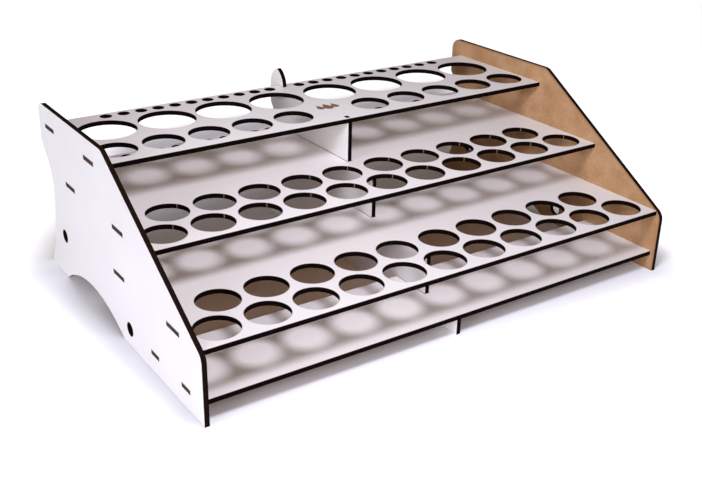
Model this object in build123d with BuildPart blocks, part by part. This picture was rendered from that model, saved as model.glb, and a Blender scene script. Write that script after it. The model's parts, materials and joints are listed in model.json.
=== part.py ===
from build123d import *
import os
from math import atan2, copysign, cos, pi, sin, tan

os.makedirs("parts", exist_ok=True)

# A desk stand for paint bottles: flat pieces cut from one thickness of sheet, slotted together without glue.
# Two side panels carry four plates by tabs, and a centre panel halves the plates' span.
# The origin is on the table under the middle of the footprint, +X is to the right and +Y to the back.

# Sheet and fits
sheet = 3.0
fit_gap = 0.1  # play on each open side of a tab or a lap joint

# Bottle holes, in rows that fill the width
bottle_hole = 26.5
bottle_web = 4.5  # left between neighbours in a row
bottle_row_gap = 0.7  # from front to back, between the holes of two staggered rows
bottle_end_web = 3.25  # at least this from the last hole of a full row to the side panel
bottle_middle_gap = 2.0  # added at the middle of a staggered row, over the centre panel
bottles_per_side = 5

# Jar holes
jar_hole = 38.0
jar_web = 3.2
jar_end_web = 4.0  # at least this from the last jar hole to the side panel
jar_middle_gap = 2.75
jar_row_gap = 5.75  # behind the bottle holes of the top plate
jars_per_side = 4

# Brush holes
brush_hole = 8.0
brush_web = 4.36
brush_row_gap = 3.4  # behind the jar holes
brush_rear_web = 2.1
brushes_per_side = 11

# Heights
base_clearance = 11.0  # under the base plate
shelf_clearance = 27.2  # between one plate and the next
panel_rise = 12.0  # of the side panels above the top plate

# Depths
front_setback = 3.5  # of the two lower plates behind the side panels' front edges
lower_front_web = 4.0  # from the front row of holes to the plate's front edge
middle_front_web = 4.7
top_front_web = 8.25
lower_back_web = 4.0  # from the back row of holes to the front edge of the plate above
middle_back_web = 2.8
base_rear_lap = 1.0  # of the base plate under the middle plate
rear_lip = 11.5  # of the side panels behind the top plate
foot_reach = 6.0  # of the rear feet behind that

# Tabs of the plates, from their front and rear edges
tab_length = 16.0
base_tab_length = 10.5
base_front_tab_inset = 12.5
lower_front_tab_inset = 22.5
lower_rear_tab_inset = 10.5
middle_front_tab_inset = 31.0
middle_rear_tab_inset = 29.5
top_front_tab_inset = 8.0

# Side panel outline
front_bend_drop = 2.1  # of the front bend below the lower plate's top
top_bend_lead = 5.5  # of the top bend before the top plate's front edge
bend_radius = 8.0
rear_corner_radius = 8.0
hollow_rise = 15.2  # of the hollow in the back above the middle plate's top
hollow_drop = 3.6  # of the hollow's corner below it
hollow_depth = 14.1
hollow_radius = 22.0
rear_foot_length = 31.0
arch_width = 97.5
arch_height = 14.4

# Holes through the side panels, to join stands side by side
link_hole = 9.0
rear_link_height = 31.3
rear_link_set = 3.0  # inward from the arch's rear end
front_link_height = 11.8
front_link_set = 10.5  # outward from its front end

# Centre panel
rib_foot_setback = 0.8  # of its front foot behind the base plate's front edge
rib_gap_under_lower = 2.7  # behind the lower plate's front row of holes
rib_gap_under_middle = 0.6
rib_tab_inset = 2.0  # of its upper tab behind the top plate's front edge
rib_tab_length = 4.0
tongue_lap = 6.5  # of the tongue into the top plate's rear edge
tongue_peak_back = 8.3  # from the tongue's front edge
tongue_shoulder_drop = 13.0
tongue_peak_radius = 3.0

# Spacing of the holes
bottle_pitch = bottle_hole + bottle_web
bottle_row_step = bottle_hole + bottle_row_gap
jar_pitch = jar_hole + jar_web
brush_pitch = brush_hole + brush_web

# Widths, from the row that reaches further
bottle_reach = bottles_per_side * bottle_pitch + bottle_hole / 2
jar_reach = (jars_per_side - 0.5) * jar_pitch + jar_middle_gap / 2 + jar_hole / 2
half_inside = max(bottle_reach + bottle_end_web, jar_reach + jar_end_web)
half_outside = half_inside + sheet

# Heights of the plates' top faces and of the whole
base_top = base_clearance + sheet
lower_top = base_top + shelf_clearance + sheet
middle_top = lower_top + shelf_clearance + sheet
top_top = middle_top + shelf_clearance + sheet
stand_height = top_top + panel_rise

# Rows, from the front edge of their plate
lower_front_row = lower_front_web + bottle_hole / 2
middle_front_row = middle_front_web + bottle_hole / 2
top_front_row = top_front_web + bottle_hole / 2
jar_row = top_front_row + bottle_hole / 2 + jar_row_gap + jar_hole / 2
brush_row = jar_row + jar_hole / 2 + brush_row_gap + brush_hole / 2

# Front to back
lower_tread = lower_front_row + bottle_row_step + bottle_hole / 2 + lower_back_web
middle_tread = middle_front_row + bottle_row_step + bottle_hole / 2 + middle_back_web
top_depth = brush_row + brush_hole / 2 + brush_rear_web
stand_depth = front_setback + lower_tread + middle_tread + top_depth + rear_lip + foot_reach
panel_front = -stand_depth / 2
foot_tip = stand_depth / 2
lower_front = panel_front + front_setback
middle_front = lower_front + lower_tread
top_front = middle_front + middle_tread
top_rear = top_front + top_depth
panel_rear = top_rear + rear_lip
base_rear = middle_front + base_rear_lap

# Where the back edge turns into the hollow, where the side panels' feet meet the arch, and the joining holes
hollow_start = (panel_rear, middle_top + hollow_rise)
arch_rear = foot_tip - rear_foot_length
arch_front = arch_rear - arch_width
rear_link = (arch_rear - rear_link_set, rear_link_height)
front_link = (arch_front - front_link_set, front_link_height)

# Centre panel's front edges between the plates, from the bottom up
rib_foot_front = lower_front + rib_foot_setback
rib_front_under_lower = lower_front + lower_front_row + bottle_hole / 2 + rib_gap_under_lower
rib_front_under_middle = middle_front + middle_front_row + bottle_hole / 2 + rib_gap_under_middle
rib_front_under_top = top_front


def centred_row(pitch, per_side, y):
    """Places of a row of holes with one on the middle line."""
    return [(i * pitch, y) for i in range(-per_side, per_side + 1)]


def parted_row(pitch, per_side, gap, y):
    """Places of a row of holes with the middle line between two of them."""
    places = [(i + 0.5) * pitch for i in range(-per_side, per_side)]
    return [(x + copysign(gap / 2, x), y) for x in places]


def without_middle(row):
    """A row without the hole on the middle line, where the centre panel stands."""
    return [(x, y) for x, y in row if x != 0]


def staggered_rows(y):
    """Two staggered rows of bottle holes, the front one at y."""
    full = centred_row(bottle_pitch, bottles_per_side, y)
    return full + parted_row(bottle_pitch, bottles_per_side, bottle_middle_gap, y + bottle_row_step)


def brushes(y):
    """The row of brush holes."""
    return without_middle(centred_row(brush_pitch, brushes_per_side, y))


def jars(y):
    """The row of jar holes."""
    return parted_row(jar_pitch, jars_per_side, jar_middle_gap, y)


def tab_ends(front, rear, length, front_inset, rear_inset):
    """Front and rear end of a plate's two tabs on each side."""
    first = front + front_inset
    last = rear - rear_inset
    return [(first, first + length), (last - length, last)]


base_tabs = tab_ends(lower_front, base_rear, base_tab_length, base_front_tab_inset, 0)
lower_tabs = tab_ends(lower_front, top_front, tab_length, lower_front_tab_inset, lower_rear_tab_inset)
middle_tabs = tab_ends(middle_front, top_rear, tab_length, middle_front_tab_inset, middle_rear_tab_inset)
top_tabs = tab_ends(top_front, top_rear, tab_length, top_front_tab_inset, 0)
plate_tabs = [(base_top, base_tabs), (lower_top, lower_tabs), (middle_top, middle_tabs), (top_top, top_tabs)]

# Where the plate's slot from behind and the centre panel's slot from the front meet
base_lap = (rib_front_under_lower + base_rear) / 2
lower_lap = (rib_front_under_middle + top_front) / 2
middle_lap = (rib_front_under_top + top_rear) / 2


def plate_outline(front, rear, tabs):
    """A plate between the side panels, with its tabs through them."""
    with Locations((0, (front + rear) / 2)):
        Rectangle(2 * half_inside, rear - front)
    for start, end in tabs:
        with Locations((0, (start + end) / 2)):
            Rectangle(2 * half_outside, end - start)


def cut_slot(start, end):
    """A slot on the middle line of a plate, for the centre panel."""
    with Locations((0, (start + end) / 2)):
        Rectangle(sheet + 2 * fit_gap, end - start, mode=Mode.SUBTRACT)


def cut_holes(places, diameter):
    """Round holes through a plate."""
    with Locations(*places):
        Circle(diameter / 2, mode=Mode.SUBTRACT)


def back_edge():
    """Back edge that both panels share, from the top of the hollow to the tip of the foot."""
    waist = panel_rear - hollow_depth
    corner = middle_top - hollow_drop
    slant = atan2(hollow_rise + hollow_drop, hollow_depth)
    reach = hollow_radius * tan((pi / 2 - slant) / 2)
    slant_end = (waist + reach * cos(slant), corner + reach * sin(slant))
    Line(hollow_start, slant_end)
    TangentArc(slant_end, (waist, corner - reach), tangent=(-cos(slant), -sin(slant)))
    TangentArc((waist, corner - reach), (foot_tip, 0), tangent=(0, -1))


def side_outline():
    """Outline of a side panel, seen from its side."""
    back_edge()
    FilletPolyline(
        hollow_start,
        (panel_rear, stand_height),
        (top_front - top_bend_lead, stand_height),
        (panel_front, lower_top - front_bend_drop),
        (panel_front, 0),
        radius=[rear_corner_radius, bend_radius, bend_radius],
    )
    Line((panel_front, 0), (arch_front, 0))
    ThreePointArc((arch_front, 0), ((arch_front + arch_rear) / 2, arch_height), (arch_rear, 0))
    Line((arch_rear, 0), (foot_tip, 0))


# Side panels
side_panels = {"left_side_panel": -half_outside, "right_side_panel": half_inside}
for name, x in side_panels.items():
    with BuildPart() as side_panel:
        with BuildSketch(Plane.YZ.offset(x)):
            with BuildLine():
                side_outline()
            make_face()
            for top, tabs in plate_tabs:
                for start, end in tabs:
                    with Locations(((start + end) / 2, top - sheet / 2 + fit_gap / 2)):
                        Rectangle(end - start + 2 * fit_gap, sheet + fit_gap, mode=Mode.SUBTRACT)
            with Locations(rear_link, front_link):
                Circle(link_hole / 2, mode=Mode.SUBTRACT)
        extrude(amount=sheet)
    side_panel.part.label = name
    export_step(side_panel.part, f"parts/{name}.step")

# Base plate, which the lower bottles stand on
with BuildPart() as base_plate:
    with BuildSketch(Plane.XY.offset(base_top - sheet)):
        plate_outline(lower_front, base_rear, base_tabs)
        cut_slot(base_lap, base_rear)
    extrude(amount=sheet)
base_plate.part.label = "base_plate"
export_step(base_plate.part, "parts/base_plate.step")

# Lower plate, under the top plate's front edge at its rear
with BuildPart() as lower_plate:
    with BuildSketch(Plane.XY.offset(lower_top - sheet)):
        plate_outline(lower_front, top_front, lower_tabs)
        cut_slot(lower_lap, top_front)
        cut_holes(staggered_rows(lower_front + lower_front_row), bottle_hole)
    extrude(amount=sheet)
lower_plate.part.label = "lower_plate"
export_step(lower_plate.part, "parts/lower_plate.step")

# Middle plate, whose rear half carries the top plate's bottles and guides its brushes
with BuildPart() as middle_plate:
    with BuildSketch(Plane.XY.offset(middle_top - sheet)):
        plate_outline(middle_front, top_rear, middle_tabs)
        cut_slot(middle_lap, top_rear)
        cut_holes(staggered_rows(middle_front + middle_front_row), bottle_hole)
        cut_holes(brushes(top_front + brush_row), brush_hole)
    extrude(amount=sheet)
middle_plate.part.label = "middle_plate"
export_step(middle_plate.part, "parts/middle_plate.step")

# Top plate, with bottles, jars and brushes
rib_tab_start = top_front + rib_tab_inset
rib_tab_end = rib_tab_start + rib_tab_length
tongue_front = top_rear - tongue_lap
with BuildPart() as top_plate:
    with BuildSketch(Plane.XY.offset(top_top - sheet)):
        plate_outline(top_front, top_rear, top_tabs)
        cut_slot(rib_tab_start - fit_gap, rib_tab_end + fit_gap)
        cut_slot(tongue_front - fit_gap, top_rear)
        bottles = centred_row(bottle_pitch, bottles_per_side, top_front + top_front_row)
        cut_holes(without_middle(bottles), bottle_hole)
        cut_holes(jars(top_front + jar_row), jar_hole)
        cut_holes(brushes(top_front + brush_row), brush_hole)
    extrude(amount=sheet)
top_plate.part.label = "top_plate"
export_step(top_plate.part, "parts/top_plate.step")

# Centre panel: its steps carry the plates, a tab and a tongue hold the top plate
peak = (tongue_front + tongue_peak_back, stand_height)
shoulder = stand_height - tongue_shoulder_drop
with BuildPart() as centre_panel:
    with BuildSketch(Plane.YZ.offset(-sheet / 2)) as rib_face:
        with BuildLine():
            Polyline(
                (foot_tip, 0),
                (rib_foot_front, 0),
                (rib_foot_front, base_top - sheet),
                (rib_front_under_lower, base_top - sheet),
                (rib_front_under_lower, lower_top - sheet),
                (rib_front_under_middle, lower_top - sheet),
                (rib_front_under_middle, middle_top - sheet),
                (rib_front_under_top, middle_top - sheet),
                (rib_front_under_top, top_top - sheet),
                (rib_tab_start, top_top - sheet),
                (rib_tab_start, top_top),
                (rib_tab_end, top_top),
                (rib_tab_end, top_top - sheet),
                (tongue_front, top_top - sheet),
                (tongue_front, top_top),
            )
            TangentArc((tongue_front, top_top), peak, tangent=(0, 1))
            TangentArc((panel_rear, shoulder), peak, tangent=(0, 1))
            Line((panel_rear, shoulder), hollow_start)
            back_edge()
        make_face()
        fillet(rib_face.vertices().sort_by(Axis.Y)[-1], tongue_peak_radius)
        laps = [
            (rib_front_under_lower, base_lap, base_top),
            (rib_front_under_middle, lower_lap, lower_top),
            (rib_front_under_top, middle_lap, middle_top),
        ]
        for start, end, top in laps:
            with Locations(((start + end) / 2, top - sheet / 2 + fit_gap / 2)):
                Rectangle(end - start, sheet + fit_gap, mode=Mode.SUBTRACT)
    extrude(amount=sheet)
centre_panel.part.label = "centre_panel"
export_step(centre_panel.part, "parts/centre_panel.step")
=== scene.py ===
"""Looks of a slotted paint stand, dressed over its CAD frame.

The stand is laser-cut from 3 mm fibreboard that is coated white on one face and bare on the other.
"""

import json
import logging
import math
from dataclasses import dataclass, replace
from enum import Enum

import bpy
from mathutils import Matrix, Vector


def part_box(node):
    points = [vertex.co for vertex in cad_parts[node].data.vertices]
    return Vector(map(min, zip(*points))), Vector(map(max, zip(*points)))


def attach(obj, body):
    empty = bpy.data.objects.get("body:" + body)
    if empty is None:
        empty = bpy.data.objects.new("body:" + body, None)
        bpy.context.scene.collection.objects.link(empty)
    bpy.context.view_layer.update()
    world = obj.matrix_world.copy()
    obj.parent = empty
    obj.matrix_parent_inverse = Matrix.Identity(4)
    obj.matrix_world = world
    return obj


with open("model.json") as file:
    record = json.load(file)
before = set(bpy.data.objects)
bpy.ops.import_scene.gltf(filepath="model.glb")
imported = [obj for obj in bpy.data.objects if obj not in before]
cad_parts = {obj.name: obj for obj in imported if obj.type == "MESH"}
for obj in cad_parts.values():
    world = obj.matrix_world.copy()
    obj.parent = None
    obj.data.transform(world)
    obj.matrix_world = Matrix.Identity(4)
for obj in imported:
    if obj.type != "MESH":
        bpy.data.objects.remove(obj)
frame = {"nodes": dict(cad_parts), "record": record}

log = logging.getLogger("paint_stand")

Tree = bpy.types.NodeTree
Socket = bpy.types.NodeSocket
Material = bpy.types.Material
Point = tuple[float, float, float]

MM = 0.001
SHEET = 3.0 * MM
# Longer than the stand in any direction, for a zone that has no end.
ENDLESS = 1.0
# A face looks along a direction when its normal reaches this far along it.
FACING = 0.5
IMAGE_WIDTH = 702
MOUNTS = frame["record"]["mounts"]


def linear(code: str) -> tuple[float, float, float, float]:
    """Turns an sRGB hex colour to linear light, by the standard's own formula.

    Args:
        code: Six hex digits, such as "F4F0F2".

    Returns:
        Red, green, blue and an alpha of 1.
    """
    channels = [int(code[i : i + 2], 16) / 255 for i in (0, 2, 4)]
    lit = [c / 12.92 if c <= 0.04045 else ((c + 0.055) / 1.055) ** 2.4 for c in channels]
    return lit[0], lit[1], lit[2], 1.0


def add_node(tree: Tree, kind: str, inputs: dict | None = None, **settings: object) -> bpy.types.Node:
    """Adds a node with its settings and links.

    Args:
        tree: The node tree.
        kind: The node's type name.
        inputs: A value, or an output socket to link, for each input's name or number.
        settings: Values of the node's own properties.

    Returns:
        The new node.
    """
    node = tree.nodes.new(kind)
    for key, value in settings.items():
        setattr(node, key, value)
    for key, value in (inputs or {}).items():
        if isinstance(value, Socket):
            tree.links.new(value, node.inputs[key])
        else:
            node.inputs[key].default_value = value
    return node


def add_object(name: str, data: bpy.types.ID) -> bpy.types.Object:
    """Makes an object and puts it in the scene."""
    made = bpy.data.objects.new(name, data)
    bpy.context.scene.collection.objects.link(made)
    return made


def empty_material(name: str) -> Material:
    """Makes a material that has no nodes yet."""
    material = bpy.data.materials.new(name)
    material.use_nodes = True
    material.node_tree.nodes.clear()
    return material


def cover(node: str, material: Material) -> None:
    """Gives a CAD node its material."""
    frame["nodes"][node].material_slots[0].material = material


def stained(
    tree: Tree, colour: Socket, stain: str, near: Socket, reach: Socket | float, strength: float
) -> Socket:
    """Lays a stain over a colour, strongest at a cut and gone where its reach ends.

    Args:
        tree: The material's node tree.
        colour: The colour without the stain.
        stain: The stain's hex colour.
        near: Distance to the cut.
        reach: Distance at which the stain ends.
        strength: The stain's share at the cut itself.

    Returns:
        The colour.
    """
    given = {"Value": near, "From Min": 0.0, "From Max": reach, "To Min": strength, "To Max": 0.0}
    share = add_node(tree, "ShaderNodeMapRange", given, interpolation_type="SMOOTHSTEP").outputs[0]
    given = {"Factor": share, 6: colour, 7: linear(stain)}
    return add_node(tree, "ShaderNodeMix", given, data_type="RGBA").outputs[2]


class CoatSide(Enum):
    """The face of a piece that wears the white coat."""

    UP = (0.0, 0.0, 1.0)
    LEFT = (-1.0, 0.0, 0.0)
    RIGHT = (1.0, 0.0, 0.0)


@dataclass(frozen=True)
class HoleRow:
    """A straight row of round holes through a plate, the same on both sides of the middle."""

    name: str
    plate: str
    xs: tuple[float, ...]
    y: float
    top: float
    radius: float

    @property
    def first(self) -> float:
        """Distance of the first hole from the middle."""
        return min(abs(x) for x in self.xs)

    @property
    def last(self) -> float:
        """Distance of the last hole from the middle."""
        return max(self.xs)

    @property
    def pitch(self) -> float:
        """Distance between neighbours."""
        return self.xs[-1] - self.xs[-2]


PLATE_OF_ROW = {
    "lower_front_bottle": "lower_plate",
    "lower_back_bottle": "lower_plate",
    "middle_front_bottle": "middle_plate",
    "middle_back_bottle": "middle_plate",
    "middle_brush": "middle_plate",
    "top_bottle": "top_plate",
    "jar": "top_plate",
    "top_brush": "top_plate",
}


def hole_rows() -> list[HoleRow]:
    """Reads the rows of holes from the record's mounts.

    Returns:
        One row for each name in PLATE_OF_ROW.
    """
    rows = []
    for name, plate in PLATE_OF_ROW.items():
        found = [m for m in MOUNTS if m["name"].rsplit("_", 1)[0] == name]
        xs = tuple(sorted(m["pos_m"][0] for m in found))
        _, y, z = found[0]["pos_m"]
        rows.append(HoleRow(name, plate, xs, y, z + SHEET / 2, found[0]["dims"]["r_mm"] * MM))
    return rows


@dataclass(frozen=True)
class EdgeLine:
    """A straight cut edge: a point on it and the direction out of the board."""

    point: Point
    outward: Point


@dataclass(frozen=True)
class Zone:
    """A box-shaped zone. Where the box is only a line, its radius makes it a round hole."""

    centre: Point
    half: Point
    radius: float = 0.0


@dataclass(frozen=True)
class Cuts:
    """The cuts of one piece that the laser's smoke has stained, and the seam of its joint with another, in
    char and painted shade.
    """

    rows: tuple[HoleRow, ...] = ()
    lines: tuple[EdgeLine, ...] = ()
    zones: tuple[Zone, ...] = ()
    seam: Zone | None = None

    @staticmethod
    def row_group() -> Tree:
        """Makes the node group that measures the distance to a row of holes.

        A point is folded over the middle and then over each hole, so that one hole stands for all.

        Returns:
            The group, made once.
        """
        name = "distance to hole row"
        if name in bpy.data.node_groups:
            return bpy.data.node_groups[name]
        tree = bpy.data.node_groups.new(name, "ShaderNodeTree")
        for socket in ("Row", "First", "Last", "Pitch", "Radius"):
            tree.interface.new_socket(socket, in_out="INPUT", socket_type="NodeSocketFloat")
        tree.interface.new_socket("Distance", in_out="OUTPUT", socket_type="NodeSocketFloat")
        row = add_node(tree, "NodeGroupInput").outputs
        place = add_node(tree, "ShaderNodeTexCoord").outputs["Object"]
        axes = add_node(tree, "ShaderNodeSeparateXYZ", {0: place}).outputs
        out = add_node(tree, "ShaderNodeMath", {0: axes["X"]}, operation="ABSOLUTE").outputs[0]
        low = add_node(tree, "ShaderNodeMath", {0: out, 1: row["First"]}, operation="MAXIMUM").outputs[0]
        held = add_node(tree, "ShaderNodeMath", {0: low, 1: row["Last"]}, operation="MINIMUM").outputs[0]
        along = add_node(tree, "ShaderNodeMath", {0: held, 1: row["First"]}, operation="SUBTRACT").outputs[0]
        half = add_node(tree, "ShaderNodeMath", {0: row["Pitch"], 1: 0.5}, operation="MULTIPLY").outputs[0]
        inside = add_node(tree, "ShaderNodeMath", {0: along, 1: half}, operation="PINGPONG").outputs[0]
        over = add_node(tree, "ShaderNodeMath", {0: out, 1: held}, operation="SUBTRACT").outputs[0]
        beyond = add_node(tree, "ShaderNodeMath", {0: over}, operation="ABSOLUTE").outputs[0]
        dx = add_node(tree, "ShaderNodeMath", {0: inside, 1: beyond}, operation="ADD").outputs[0]
        dy = add_node(tree, "ShaderNodeMath", {0: axes["Y"], 1: row["Row"]}, operation="SUBTRACT").outputs[0]
        gap = add_node(tree, "ShaderNodeCombineXYZ", {0: dx, 1: dy}).outputs[0]
        far = add_node(tree, "ShaderNodeVectorMath", {0: gap}, operation="LENGTH").outputs["Value"]
        rim = add_node(tree, "ShaderNodeMath", {0: far, 1: row["Radius"]}, operation="SUBTRACT").outputs[0]
        add_node(tree, "NodeGroupOutput", {"Distance": rim})
        return tree

    def distance(self, tree: Tree, place: Socket) -> Socket:
        """Adds the nodes that measure how far a point is from the nearest cut.

        Args:
            tree: The material's node tree.
            place: The point, on Object coordinates.

        Returns:
            The distance in metres.
        """
        found = []
        for row in self.rows:
            given = {"Row": row.y, "First": row.first, "Last": row.last}
            given |= {"Pitch": row.pitch, "Radius": row.radius}
            found.append(add_node(tree, "ShaderNodeGroup", given, node_tree=self.row_group()).outputs[0])
        for line in self.lines:
            given = {0: line.point, 1: place}
            back = add_node(tree, "ShaderNodeVectorMath", given, operation="SUBTRACT").outputs[0]
            given = {0: back, 1: line.outward}
            deep = add_node(tree, "ShaderNodeVectorMath", given, operation="DOT_PRODUCT").outputs["Value"]
            found.append(deep)
        for zone in self.zones:
            given = {0: place, 1: zone.centre}
            off = add_node(tree, "ShaderNodeVectorMath", given, operation="SUBTRACT").outputs[0]
            size = add_node(tree, "ShaderNodeVectorMath", {0: off}, operation="ABSOLUTE").outputs[0]
            given = {0: size, 1: zone.half}
            past = add_node(tree, "ShaderNodeVectorMath", given, operation="SUBTRACT").outputs[0]
            given = {0: past, 1: (0.0, 0.0, 0.0)}
            out = add_node(tree, "ShaderNodeVectorMath", given, operation="MAXIMUM").outputs[0]
            far = add_node(tree, "ShaderNodeVectorMath", {0: out}, operation="LENGTH").outputs["Value"]
            given = {0: far, 1: zone.radius}
            found.append(add_node(tree, "ShaderNodeMath", given, operation="SUBTRACT").outputs[0])
        nearest = found[0]
        for other in found[1:]:
            given = {0: nearest, 1: other}
            nearest = add_node(tree, "ShaderNodeMath", given, operation="MINIMUM").outputs[0]
        return nearest


@dataclass(frozen=True)
class CoatedBoard:
    """Medium-density fibreboard with a white paper-and-resin coat on one face, laser cut.

    The coat is smooth and satin. The bare face is tan with short fibres and smoke stains beside the cuts.
    The cut edges are charred nearly black, with fine brown specks.
    """

    # The coat, with faint clouds and a thin burnt rim at each cut.
    coat: str = "ECEBEB"
    coat_shade: str = "E6E1E2"
    coat_roughness: float = 0.42
    coat_specular: float = 0.4
    coat_cloud: float = 42.0 * MM
    coat_halo: float = 0.5 * MM
    coat_burn: float = 0.55

    # The bare face, with blotches, fibres and a wide smoky rim at each cut.
    bare: str = "A27C57"
    bare_dark: str = "76543A"
    bare_pale: str = "B48F6B"
    bare_roughness: float = 0.88
    bare_specular: float = 0.2
    bare_halo: float = 2.2 * MM
    bare_smoke: float = 0.75
    blotch: float = 14.0 * MM
    blotch_range: tuple[float, float] = (0.3, 0.7)
    # Real fibres are finer, and are drawn this coarse so that they show.
    fibre: float = 1.1 * MM
    fibre_range: tuple[float, float] = (0.46, 0.7)
    fibre_darkness: float = 0.55
    fibre_height: float = 0.06 * MM

    # The cut edges.
    char: str = "040101"
    char_speck: str = "160B08"
    char_roughness: float = 0.7
    char_specular: float = 0.03
    speck: float = 0.5 * MM
    speck_range: tuple[float, float] = (0.42, 0.72)
    speck_height: float = 0.08 * MM

    # The tabs' ends, the smoke, the strength of all relief, and the dark seam of a joint, which is charred
    # slot edge and painted shade in its gap.
    toast: str = "473830"
    stain: str = "8B6747"
    relief: float = 0.6
    seam_width: float = 1.0 * MM
    seam_darkness: float = 0.9

    def build(self, name: str, side: CoatSide, cuts: Cuts, toasted_from: float = ENDLESS) -> Material:
        """Makes the material of one piece.

        Args:
            name: The material's name.
            side: The face that wears the coat.
            cuts: The cuts whose smoke stains the faces.
            toasted_from: Distance from the middle, across the stand, past which cut ends are brown.

        Returns:
            The material.
        """
        material = empty_material(name)
        tree = material.node_tree
        coords = add_node(tree, "ShaderNodeTexCoord").outputs
        place = coords["Object"]
        given = {0: coords["Normal"], 1: side.value}
        facing = add_node(tree, "ShaderNodeVectorMath", given, operation="DOT_PRODUCT").outputs["Value"]
        given = {0: facing, 1: FACING}
        is_coat = add_node(tree, "ShaderNodeMath", given, operation="GREATER_THAN").outputs[0]
        given = {0: facing, 1: -FACING}
        is_bare = add_node(tree, "ShaderNodeMath", given, operation="LESS_THAN").outputs[0]

        near = cuts.distance(tree, place)
        coat = self.coat_colour(tree, place, near)
        if cuts.seam:
            # The seam: a dark line, partly charred slot edge and partly painted shade in the joint's gap.
            beside = Cuts(zones=(cuts.seam,)).distance(tree, place)
            coat = stained(tree, coat, self.char_speck, beside, self.seam_width, self.seam_darkness)
        bare, fibres = self.bare_colour(tree, place, near)
        char, specks = self.char_colour(tree, place, toasted_from)

        shaders = []
        for colour, roughness, specular, height, depth in (
            (coat, self.coat_roughness, self.coat_specular, None, 0.0),
            (bare, self.bare_roughness, self.bare_specular, fibres, self.fibre_height),
            (char, self.char_roughness, self.char_specular, specks, self.speck_height),
        ):
            surface = {"Base Color": colour, "Roughness": roughness, "Specular IOR Level": specular}
            if height is not None:
                given = {"Height": height, "Strength": self.relief, "Distance": depth}
                surface["Normal"] = add_node(tree, "ShaderNodeBump", given).outputs[0]
            shaders.append(add_node(tree, "ShaderNodeBsdfPrincipled", surface).outputs[0])
        coated, uncoated, charred = shaders
        rest = add_node(tree, "ShaderNodeMixShader", {0: is_bare, 1: charred, 2: uncoated}).outputs[0]
        shader = add_node(tree, "ShaderNodeMixShader", {0: is_coat, 1: rest, 2: coated}).outputs[0]
        add_node(tree, "ShaderNodeOutputMaterial", {"Surface": shader})
        return material

    def coat_colour(self, tree: Tree, place: Socket, near: Socket) -> Socket:
        """Adds the coat's colour: white, faintly cloudy, browned where the laser touched it.

        Args:
            tree: The material's node tree.
            place: The point, on Object coordinates.
            near: Distance to the nearest cut.

        Returns:
            The colour.
        """
        given = {"Vector": place, "Scale": 1 / self.coat_cloud, "Detail": 2.0}
        cloud = add_node(tree, "ShaderNodeTexNoise", given).outputs[0]
        given = {"Factor": cloud, 6: linear(self.coat), 7: linear(self.coat_shade)}
        white = add_node(tree, "ShaderNodeMix", given, data_type="RGBA").outputs[2]
        return stained(tree, white, self.stain, near, self.coat_halo, self.coat_burn)

    def bare_colour(self, tree: Tree, place: Socket, near: Socket) -> tuple[Socket, Socket]:
        """Adds the bare board's colour: tan, with pale blotches, dark fibres and smoke stains.

        Args:
            tree: The material's node tree.
            place: The point, on Object coordinates.
            near: Distance to the nearest cut.

        Returns:
            The colour, and the height of the fibres.
        """
        given = {"Vector": place, "Scale": 1 / self.fibre, "Detail": 6.0}
        given |= {"Roughness": 0.65, "Distortion": 0.6}
        fibres = add_node(tree, "ShaderNodeTexNoise", given).outputs[0]
        given = {"Vector": place, "Scale": 1 / self.blotch, "Detail": 3.0}
        blotch = add_node(tree, "ShaderNodeTexNoise", given).outputs[0]
        low, high = self.blotch_range
        given = {"Value": blotch, "From Min": low, "From Max": high}
        pale = add_node(tree, "ShaderNodeMapRange", given, interpolation_type="SMOOTHSTEP").outputs[0]
        given = {"Factor": pale, 6: linear(self.bare), 7: linear(self.bare_pale)}
        tan = add_node(tree, "ShaderNodeMix", given, data_type="RGBA").outputs[2]
        low, high = self.fibre_range
        given = {"Value": fibres, "From Min": low, "From Max": high, "To Max": self.fibre_darkness}
        dark = add_node(tree, "ShaderNodeMapRange", given).outputs[0]
        given = {"Factor": dark, 6: tan, 7: linear(self.bare_dark)}
        flecked = add_node(tree, "ShaderNodeMix", given, data_type="RGBA").outputs[2]
        given = {0: blotch, 1: 2 * self.bare_halo}
        reach = add_node(tree, "ShaderNodeMath", given, operation="MULTIPLY").outputs[0]
        return stained(tree, flecked, self.stain, near, reach, self.bare_smoke), fibres

    def char_colour(self, tree: Tree, place: Socket, toasted_from: float) -> tuple[Socket, Socket]:
        """Adds the cut edges' colour: near black with brown specks, and toasted brown on the tabs' ends.

        Args:
            tree: The material's node tree.
            place: The point, on Object coordinates.
            toasted_from: Distance from the middle, across the stand, past which cut ends are brown.

        Returns:
            The colour, and the height of the specks.
        """
        given = {"Vector": place, "Scale": 1 / self.speck, "Detail": 4.0, "Roughness": 0.6}
        specks = add_node(tree, "ShaderNodeTexNoise", given).outputs[0]
        low, high = self.speck_range
        given = {"Value": specks, "From Min": low, "From Max": high}
        lift = add_node(tree, "ShaderNodeMapRange", given).outputs[0]
        given = {"Factor": lift, 6: linear(self.char), 7: linear(self.char_speck)}
        black = add_node(tree, "ShaderNodeMix", given, data_type="RGBA").outputs[2]
        across = add_node(tree, "ShaderNodeSeparateXYZ", {0: place}).outputs["X"]
        out = add_node(tree, "ShaderNodeMath", {0: across}, operation="ABSOLUTE").outputs[0]
        given = {0: out, 1: toasted_from}
        end = add_node(tree, "ShaderNodeMath", given, operation="GREATER_THAN").outputs[0]
        given = {"Factor": end, 6: black, 7: linear(self.toast)}
        return add_node(tree, "ShaderNodeMix", given, data_type="RGBA").outputs[2], specks


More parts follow.
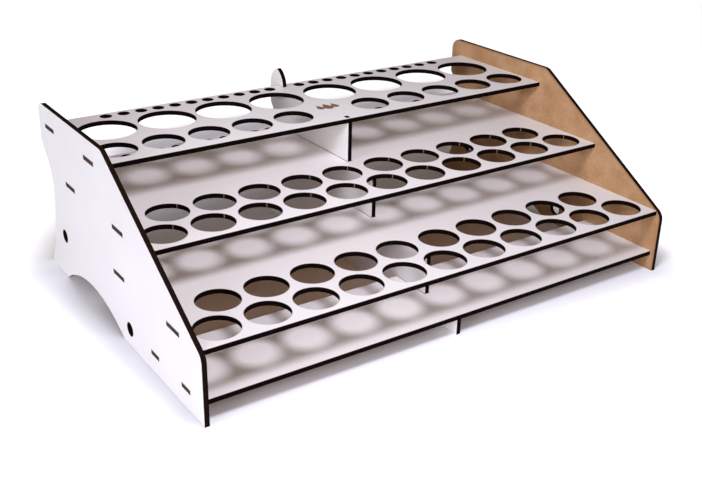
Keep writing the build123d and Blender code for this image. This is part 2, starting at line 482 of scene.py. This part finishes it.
@dataclass(frozen=True)
class PlainFinish:
    """One colour with a fine mottle, for the small pieces."""

    name: str
    colour: str
    shade: str
    grain: float
    roughness: float
    relief: float = 0.3
    height: float = 0.05 * MM

    def build(self) -> Material:
        """Makes the material.

        Returns:
            The material.
        """
        material = empty_material(self.name)
        tree = material.node_tree
        place = add_node(tree, "ShaderNodeTexCoord").outputs["Object"]
        given = {"Vector": place, "Scale": 1 / self.grain, "Detail": 4.0}
        mottle = add_node(tree, "ShaderNodeTexNoise", given).outputs[0]
        given = {"Factor": mottle, 6: linear(self.colour), 7: linear(self.shade)}
        colour = add_node(tree, "ShaderNodeMix", given, data_type="RGBA").outputs[2]
        given = {"Height": mottle, "Strength": self.relief, "Distance": self.height}
        normal = add_node(tree, "ShaderNodeBump", given).outputs[0]
        given = {"Base Color": colour, "Roughness": self.roughness, "Normal": normal}
        shader = add_node(tree, "ShaderNodeBsdfPrincipled", given).outputs[0]
        add_node(tree, "ShaderNodeOutputMaterial", {"Surface": shader})
        return material


# Fibreboard where the laser closed a cut: a thin pale nib that stayed unburnt.
CUT_NIB = PlainFinish(
    name="unburnt fibreboard, laser cut", colour="9A8674", shade="6E5D50", grain=0.6 * MM, roughness=0.85
)
# Fibreboard under an engraved coat: toasted brown and matt.
ENGRAVING = PlainFinish(
    name="fibreboard, laser engraved", colour="8A6A4E", shade="6C4F38", grain=0.4 * MM, roughness=0.8
)


@dataclass
class Plates:
    """The four plates between the side panels."""

    # How far the dark line of the joint with the centre panel runs in from each plate's rear edge. The line
    # is charred slot edge and painted shade in the joint's gap.
    seams: tuple[tuple[str, float], ...] = (
        ("base_plate", 29.5 * MM),
        ("lower_plate", 29.4 * MM),
        ("middle_plate", 92.0 * MM),
        ("top_plate", 6.5 * MM),
    )
    # How deep the tabs' ends are toasted.
    tab_end: float = 0.1 * MM

    def dress(self, board: CoatedBoard, rows: list[HoleRow]) -> None:
        """Gives each plate its finish.

        Args:
            board: The board that the plates are cut from.
            rows: All rows of holes.
        """
        for name, length in self.seams:
            low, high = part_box(name)
            lines = (
                EdgeLine((0.0, low.y, 0.0), (0.0, -1.0, 0.0)),
                EdgeLine((0.0, high.y, 0.0), (0.0, 1.0, 0.0)),
            )
            seam = Zone((0.0, high.y - length / 2, 0.0), (SHEET / 2, length / 2, ENDLESS))
            cuts = Cuts(rows=tuple(r for r in rows if r.plate == name), lines=lines, seam=seam)
            label = f"white-coated fibreboard, laser cut, {name.replace('_', ' ')}"
            cover(name, board.build(label, CoatSide.UP, cuts, high.x - self.tab_end))
            log.info("%s: coat up, %d rows of holes", name, len(cuts.rows))


@dataclass
class Panels:
    """The two side panels and the centre panel. The side panels' edges are browner than the others."""

    # The side panels' slope starts this far below the lower plate's top, and ends this far before the
    # top plate's front edge.
    front_bend_drop: float = 2.1 * MM
    top_bend_lead: float = 5.5 * MM
    char: str = "120805"
    char_speck: str = "261711"

    def outline(self, low: Vector, high: Vector) -> tuple[EdgeLine, ...]:
        """Straight cut edges of a side panel.

        Args:
            low: The panel's lowest corner.
            high: The panel's highest corner.

        Returns:
            The front, the slope, the top and the bottom.
        """
        front_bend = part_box("lower_plate")[1].z - self.front_bend_drop
        top_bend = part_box("top_plate")[0].y - self.top_bend_lead
        rise = Vector((0.0, top_bend - low.y, high.z - front_bend))
        out = Vector((0.0, -rise.z, rise.y)).normalized()
        return (
            EdgeLine((0.0, low.y, 0.0), (0.0, -1.0, 0.0)),
            EdgeLine((0.0, low.y, front_bend), tuple(out)),
            EdgeLine((0.0, 0.0, high.z), (0.0, 0.0, 1.0)),
            EdgeLine((0.0, 0.0, low.z), (0.0, 0.0, -1.0)),
        )

    def links(self, side: str) -> tuple[Zone, ...]:
        """Round joining holes of a side panel, from the record's mounts."""
        found = [m for m in MOUNTS if m["name"] in (f"{side}_rear_link", f"{side}_front_link")]
        return tuple(Zone(tuple(m["pos_m"]), (ENDLESS, 0.0, 0.0), m["dims"]["r_mm"] * MM) for m in found)

    def dress(self, board: CoatedBoard) -> None:
        """Gives each panel its finish.

        Args:
            board: The board that the panels are cut from.
        """
        browner = replace(board, char=self.char, char_speck=self.char_speck)
        for side, coat in (("left", CoatSide.LEFT), ("right", CoatSide.RIGHT)):
            name = f"{side}_side_panel"
            low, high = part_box(name)
            cuts = Cuts(lines=self.outline(low, high), zones=self.links(side))
            cover(name, browner.build(f"white-coated fibreboard, laser cut, {side} panel", coat, cuts))
            log.info("%s: coat outside, %d joining holes", name, len(cuts.zones))
        low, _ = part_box("centre_panel")
        cuts = Cuts(lines=(EdgeLine((0.0, 0.0, low.z), (0.0, 0.0, -1.0)),))
        label = "white-coated fibreboard, laser cut, centre panel"
        cover("centre_panel", board.build(label, CoatSide.LEFT, cuts))
        log.info("centre_panel: coat to the left")


def made_from_tree(
    name: str, mesh: bpy.types.Mesh, tree: Tree, values: dict[str, object]
) -> bpy.types.Object:
    """Runs a Geometry Nodes tree on a mesh and keeps the result as a plain mesh.

    Args:
        name: The new object's name.
        mesh: What the tree starts from.
        tree: The tree.
        values: The value of each named input.

    Returns:
        The object, at the origin and with no modifier.
    """
    source = add_object(name + "_source", mesh)
    modifier = source.modifiers.new("nodes", "NODES")
    modifier.node_group = tree
    for item in tree.interface.items_tree:
        if item.item_type == "SOCKET" and item.in_out == "INPUT" and item.name in values:
            modifier[item.identifier] = values[item.name]
    graph = bpy.context.evaluated_depsgraph_get()
    result = bpy.data.meshes.new_from_object(source.evaluated_get(graph))
    source.modifiers.remove(modifier)
    bpy.data.objects.remove(source)
    result.name = name
    return add_object(name, result)


@dataclass
class CutNibs:
    """Thin nibs on the bottle holes' walls, where the laser started and closed each cut."""

    # Where a nib stands on its hole's wall, anticlockwise from the right.
    turn_middle: float = math.radians(40)
    turn_elsewhere: float = math.radians(-100)
    wander: float = math.radians(6)
    width: float = 0.42 * MM
    proud: float = 0.22 * MM
    height: float = SHEET - 0.3 * MM
    sides: int = 8
    seed: int = 7

    def places(self, rows: list[HoleRow]) -> bpy.types.Mesh:
        """Points in the middle of the bottle holes, half way up their walls.

        Args:
            rows: All rows of holes.

        Returns:
            A mesh of loose points with the attributes "turn" and "radius".
        """
        points, turns, radii = [], [], []
        for row in rows:
            if "bottle" in row.name:
                turn = self.turn_middle if row.plate == "middle_plate" else self.turn_elsewhere
                points += [(x, row.y, row.top - SHEET / 2) for x in row.xs]
                turns += [turn] * len(row.xs)
                radii += [row.radius] * len(row.xs)
        mesh = bpy.data.meshes.new("nib_places")
        mesh.from_pydata(points, [], [])
        for name, values in (("turn", turns), ("radius", radii)):
            mesh.attributes.new(name, "FLOAT", "POINT").data.foreach_set("value", values)
        return mesh

    def tree(self) -> Tree:
        """Makes the tree that sets a nib on each hole's wall.

        Returns:
            The tree.
        """
        tree = bpy.data.node_groups.new("cut nibs", "GeometryNodeTree")
        sockets = tree.interface
        sockets.new_socket("Geometry", in_out="INPUT", socket_type="NodeSocketGeometry")
        for name in ("Height", "Width", "Proud", "Wander"):
            sockets.new_socket(name, in_out="INPUT", socket_type="NodeSocketFloat")
        sockets.new_socket("Seed", in_out="INPUT", socket_type="NodeSocketInt")
        sockets.new_socket("Finish", in_out="INPUT", socket_type="NodeSocketMaterial")
        sockets.new_socket("Geometry", in_out="OUTPUT", socket_type="NodeSocketGeometry")
        asked = add_node(tree, "NodeGroupInput").outputs
        turn, radius = (
            add_node(tree, "GeometryNodeInputNamedAttribute", {"Name": name}, data_type="FLOAT").outputs[0]
            for name in ("turn", "radius")
        )
        given = {0: asked["Wander"], 1: -1.0}
        least = add_node(tree, "ShaderNodeMath", given, operation="MULTIPLY").outputs[0]
        given = {2: least, 3: asked["Wander"], "Seed": asked["Seed"]}
        shift = add_node(tree, "FunctionNodeRandomValue", given, data_type="FLOAT").outputs[1]
        angle = add_node(tree, "ShaderNodeMath", {0: turn, 1: shift}, operation="ADD").outputs[0]
        cos = add_node(tree, "ShaderNodeMath", {0: angle}, operation="COSINE").outputs[0]
        sin = add_node(tree, "ShaderNodeMath", {0: angle}, operation="SINE").outputs[0]
        out = add_node(tree, "ShaderNodeCombineXYZ", {0: cos, 1: sin}).outputs[0]
        given = {0: out, "Scale": radius}
        reach = add_node(tree, "ShaderNodeVectorMath", given, operation="SCALE").outputs[0]
        given = {"Geometry": asked["Geometry"], "Offset": reach}
        moved = add_node(tree, "GeometryNodeSetPosition", given).outputs[0]
        # A bar of unit radius, which the scale of each instance makes a nib.
        given = {"Vertices": self.sides, "Radius": 1.0, "Depth": asked["Height"]}
        bar = add_node(tree, "GeometryNodeMeshCylinder", given).outputs["Mesh"]
        given = {0: asked["Width"], 1: 0.5}
        half = add_node(tree, "ShaderNodeMath", given, operation="MULTIPLY").outputs[0]
        size = add_node(tree, "ShaderNodeCombineXYZ", {0: asked["Proud"], 1: half, 2: 1.0}).outputs[0]
        spin = add_node(tree, "ShaderNodeCombineXYZ", {2: angle}).outputs[0]
        given = {"Points": moved, "Instance": bar, "Rotation": spin, "Scale": size}
        nibs = add_node(tree, "GeometryNodeInstanceOnPoints", given).outputs[0]
        solid = add_node(tree, "GeometryNodeRealizeInstances", {0: nibs}).outputs[0]
        given = {"Geometry": solid, "Material": asked["Finish"]}
        done = add_node(tree, "GeometryNodeSetMaterial", given).outputs[0]
        add_node(tree, "NodeGroupOutput", {0: done})
        return tree

    def build(self, rows: list[HoleRow], finish: Material) -> None:
        """Makes all nibs as one piece.

        Args:
            rows: All rows of holes.
            finish: The nibs' material.
        """
        values = {
            "Height": self.height,
            "Width": self.width,
            "Proud": self.proud,
            "Wander": self.wander,
            "Seed": self.seed,
            "Finish": finish,
        }
        piece = made_from_tree("cut_nibs", self.places(rows), self.tree(), values)
        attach(piece, "root")
        log.info("cut_nibs: %d faces", len(piece.data.polygons))


@dataclass
class DropOrnament:
    """Three paint drops, as if engraved through the coat of the top plate.

    They stand a hair above it, because the plate's own face stays as it is.
    """

    centre: tuple[float, float] = (1.0 * MM, 39.0 * MM)
    sizes: tuple[float, ...] = (9.0 * MM, 12.0 * MM, 9.0 * MM)
    spacing: float = 5.8 * MM
    # How full a drop's sides are for its height, and how far its point is drawn out.
    fullness: float = 0.403
    taper: float = 1.5
    proud: float = 0.03 * MM
    steps: int = 64

    def drop(self, x: float, y: float, height: float) -> list[tuple[float, float]]:
        """Outline of one drop, its point to the back.

        Args:
            x: Its middle, across the stand.
            y: Its middle, from front to back.
            height: From its round end to its point.

        Returns:
            Points around it, anticlockwise.
        """
        points = []
        for i in range(self.steps):
            t = 2 * math.pi * i / self.steps
            swell = math.sin(t) * abs(math.sin(t / 2)) ** self.taper
            points.append((x - self.fullness * height * swell, y + height / 2 * math.cos(t)))
        return points

    def build(self, top: float, finish: Material) -> None:
        """Makes the ornament.

        Args:
            top: Height of the plate's top face.
            finish: Its material.
        """
        vertices, faces = [], []
        middle = (len(self.sizes) - 1) / 2
        for i, height in enumerate(self.sizes):
            x = self.centre[0] + (i - middle) * self.spacing
            outline = self.drop(x, self.centre[1], height)
            start, count = len(vertices), len(outline)
            for z in (top, top + self.proud):
                vertices += [(px, py, z) for px, py in outline]
            faces.append(list(range(start + count, start + 2 * count)))
            for j in range(count):
                low, next_low = start + j, start + (j + 1) % count
                faces.append([low, next_low, next_low + count, low + count])
        mesh = bpy.data.meshes.new("drop_ornament")
        mesh.from_pydata(vertices, [], faces)
        mesh.materials.append(finish)
        piece = add_object("drop_ornament", mesh)
        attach(piece, "root")
        log.info("drop_ornament: %d faces", len(mesh.polygons))


@dataclass(frozen=True)
class Lamp:
    """A soft round lamp: its place, the point that it faces and its width in metres, its power in watts."""

    name: str
    place: Point
    aim: Point
    size: float
    power: float
    colour: str

    def hang(self) -> None:
        """Hangs the lamp."""
        data = bpy.data.lights.new(self.name, "AREA")
        data.shape = "DISK"
        data.size = self.size
        data.energy = self.power
        data.color = linear(self.colour)[:3]
        hung = add_object(self.name, data)
        hung.location = self.place
        hung.rotation_euler = (Vector(self.aim) - hung.location).to_track_quat("-Z", "Y").to_euler()


@dataclass(frozen=True)
class Studio:
    """A pale floor and surround, three soft lamps and the camera.

    The white of the surround and the floor's glow are for the camera alone and light nothing. To all
    else, the surround is a dim warm sky.
    """

    # The camera, as fitted to the rims of the holes in the photograph.
    focal_px: float = 994.05
    sensor_mm: float = 36.0
    clip_start: float = 10.0 * MM
    position: Point = (-356.1 * MM, -513.5 * MM, 308.8 * MM)
    azimuth: float = math.radians(34.49)
    elevation: float = math.radians(24.94)
    roll: float = math.radians(1.17)

    lamps: tuple[Lamp, ...] = (
        Lamp(
            name="main_lamp",
            place=(-0.088, -0.215, 0.385),
            aim=(0.0, 0.0, 0.06),
            size=0.122,
            power=1.18,
            colour="F5F3FF",
        ),
        Lamp(
            name="left_softbox",
            place=(-1.62, -0.5, 0.37),
            aim=(0.0, 0.0, 0.05),
            size=1.0,
            power=22.6,
            colour="F4F6FE",
        ),
        Lamp(
            name="front_softbox",
            place=(-0.35, -1.4, 0.85),
            aim=(0.0, 0.0, 0.05),
            size=1.0,
            power=7.6,
            colour="F9F8FF",
        ),
    )
    sky: str = "FFEAD6"
    sky_strength: float = 0.2
    backdrop: str = "FCFCFF"
    backdrop_strength: float = 1.0

    floor_half: float = 40.0
    paper: str = "EDF0FA"
    paper_roughness: float = 0.9
    # Painted bounce light: the paper is tinted warm under the stand, standing in for light off the bare
    # board.
    bounce_tinted_paper: str = "F5E2CF"
    under: Zone = Zone((0.0, -10.0 * MM, 0.0), (150.0 * MM, 60.0 * MM, ENDLESS))
    under_fade: float = 25.0 * MM
    # A painted shadow of the stand: the floor doesn't glow in this zone, which leans to the right behind its
    # middle.
    shade: Zone = Zone((4.0 * MM, 100.0 * MM, 0.0), (166.0 * MM, 200.0 * MM, ENDLESS))
    shade_lean: float = 0.66
    shade_fade: float = 65.0 * MM
    glow: float = 0.8

    def floor_glow(self, tree: Tree, place: Socket) -> Socket:
        """Adds the floor's glow, which only the camera sees. It is held off in a painted shadow of the
        stand, around and behind it.

        Args:
            tree: The floor's node tree.
            place: The point, on Object coordinates.

        Returns:
            The strength of the glow.
        """
        axes = add_node(tree, "ShaderNodeSeparateXYZ", {0: place}).outputs
        given = {0: axes["Y"], 1: self.shade.centre[1]}
        behind = add_node(tree, "ShaderNodeMath", given, operation="SUBTRACT").outputs[0]
        back = add_node(tree, "ShaderNodeMath", {0: behind, 1: 0.0}, operation="MAXIMUM").outputs[0]
        given = {0: back, 1: self.shade_lean}
        lean = add_node(tree, "ShaderNodeMath", given, operation="MULTIPLY").outputs[0]
        across = add_node(tree, "ShaderNodeMath", {0: axes["X"], 1: lean}, operation="SUBTRACT").outputs[0]
        leant = add_node(tree, "ShaderNodeCombineXYZ", {0: across, 1: axes["Y"]}).outputs[0]
        away = Cuts(zones=(self.shade,)).distance(tree, leant)
        given = {"Value": away, "From Min": 0.0, "From Max": self.shade_fade, "To Max": self.glow}
        rise = add_node(tree, "ShaderNodeMapRange", given, interpolation_type="SMOOTHSTEP").outputs[0]
        seen = add_node(tree, "ShaderNodeLightPath").outputs["Is Camera Ray"]
        return add_node(tree, "ShaderNodeMath", {0: rise, 1: seen}, operation="MULTIPLY").outputs[0]

    def paper_and_bounce_colour(self, tree: Tree, place: Socket) -> Socket:
        """Adds the floor's colour, with painted warm bounce light under the stand.

        Args:
            tree: The floor's node tree.
            place: The point, on Object coordinates.

        Returns:
            The colour.
        """
        outside = Cuts(zones=(self.under,)).distance(tree, place)
        given = {"Value": outside, "From Min": 0.0, "From Max": self.under_fade}
        clear = add_node(tree, "ShaderNodeMapRange", given, interpolation_type="SMOOTHSTEP").outputs[0]
        # Painted bounce light: warm under the stand, the plain paper outside.
        given = {"Factor": clear, 6: linear(self.bounce_tinted_paper), 7: linear(self.paper)}
        return add_node(tree, "ShaderNodeMix", given, data_type="RGBA").outputs[2]

    def floor(self) -> None:
        """Lays the pale floor."""
        material = empty_material("white paper sweep")
        tree = material.node_tree
        place = add_node(tree, "ShaderNodeTexCoord").outputs["Object"]
        given = {
            "Base Color": self.paper_and_bounce_colour(tree, place),
            "Roughness": self.paper_roughness,
            "Emission Color": linear(self.backdrop),
            "Emission Strength": self.floor_glow(tree, place),
        }
        shader = add_node(tree, "ShaderNodeBsdfPrincipled", given).outputs[0]
        add_node(tree, "ShaderNodeOutputMaterial", {"Surface": shader})
        half = self.floor_half
        mesh = bpy.data.meshes.new("floor")
        edge = [(-half, -half, 0), (half, -half, 0), (half, half, 0), (-half, half, 0)]
        mesh.from_pydata(edge, [], [(0, 1, 2, 3)])
        mesh.materials.append(material)
        add_object("floor", mesh)

    def lights(self) -> None:
        """Hangs the lamps and lights the surroundings."""
        for lamp in self.lamps:
            lamp.hang()
        world = bpy.data.worlds.new("white surroundings")
        world.use_nodes = True
        tree = world.node_tree
        tree.nodes.clear()
        seen = add_node(tree, "ShaderNodeLightPath").outputs["Is Camera Ray"]
        given = {"Value": seen, "To Min": self.sky_strength, "To Max": self.backdrop_strength}
        strength = add_node(tree, "ShaderNodeMapRange", given).outputs[0]
        given = {"Factor": seen, 6: linear(self.sky), 7: linear(self.backdrop)}
        colour = add_node(tree, "ShaderNodeMix", given, data_type="RGBA").outputs[2]
        given = {"Color": colour, "Strength": strength}
        light = add_node(tree, "ShaderNodeBackground", given).outputs[0]
        add_node(tree, "ShaderNodeOutputWorld", {"Surface": light})
        bpy.context.scene.world = world

    def camera(self) -> None:
        """Sets the camera where the photograph was taken from."""
        data = bpy.data.cameras.new("camera")
        data.sensor_width = self.sensor_mm
        data.lens = self.focal_px / IMAGE_WIDTH * self.sensor_mm
        data.clip_start = self.clip_start
        seen_from = add_object("camera", data)
        aim = Matrix.Rotation(-self.azimuth, 4, "Z") @ Matrix.Rotation(math.pi / 2 - self.elevation, 4, "X")
        turn = aim @ Matrix.Rotation(self.roll, 4, "Z")
        seen_from.matrix_world = Matrix.Translation(self.position) @ turn
        bpy.context.scene.camera = seen_from

    def build(self) -> None:
        """Makes the floor, the lights and the camera."""
        self.floor()
        self.lights()
        self.camera()
        bpy.context.scene.view_settings.view_transform = "Standard"
        log.info("studio: lens %.1f mm", bpy.context.scene.camera.data.lens)


def main() -> None:
    """Dresses the stand and reports each piece."""
    logging.basicConfig(level=logging.INFO, format="%(name)s: %(message)s")
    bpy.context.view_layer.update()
    rows = hole_rows()
    board = CoatedBoard()
    Studio().build()
    Plates().dress(board, rows)
    Panels().dress(board)
    CutNibs().build(rows, CUT_NIB.build())
    DropOrnament().build(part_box("top_plate")[1].z, ENGRAVING.build())


if __name__ == "__main__":
    main()
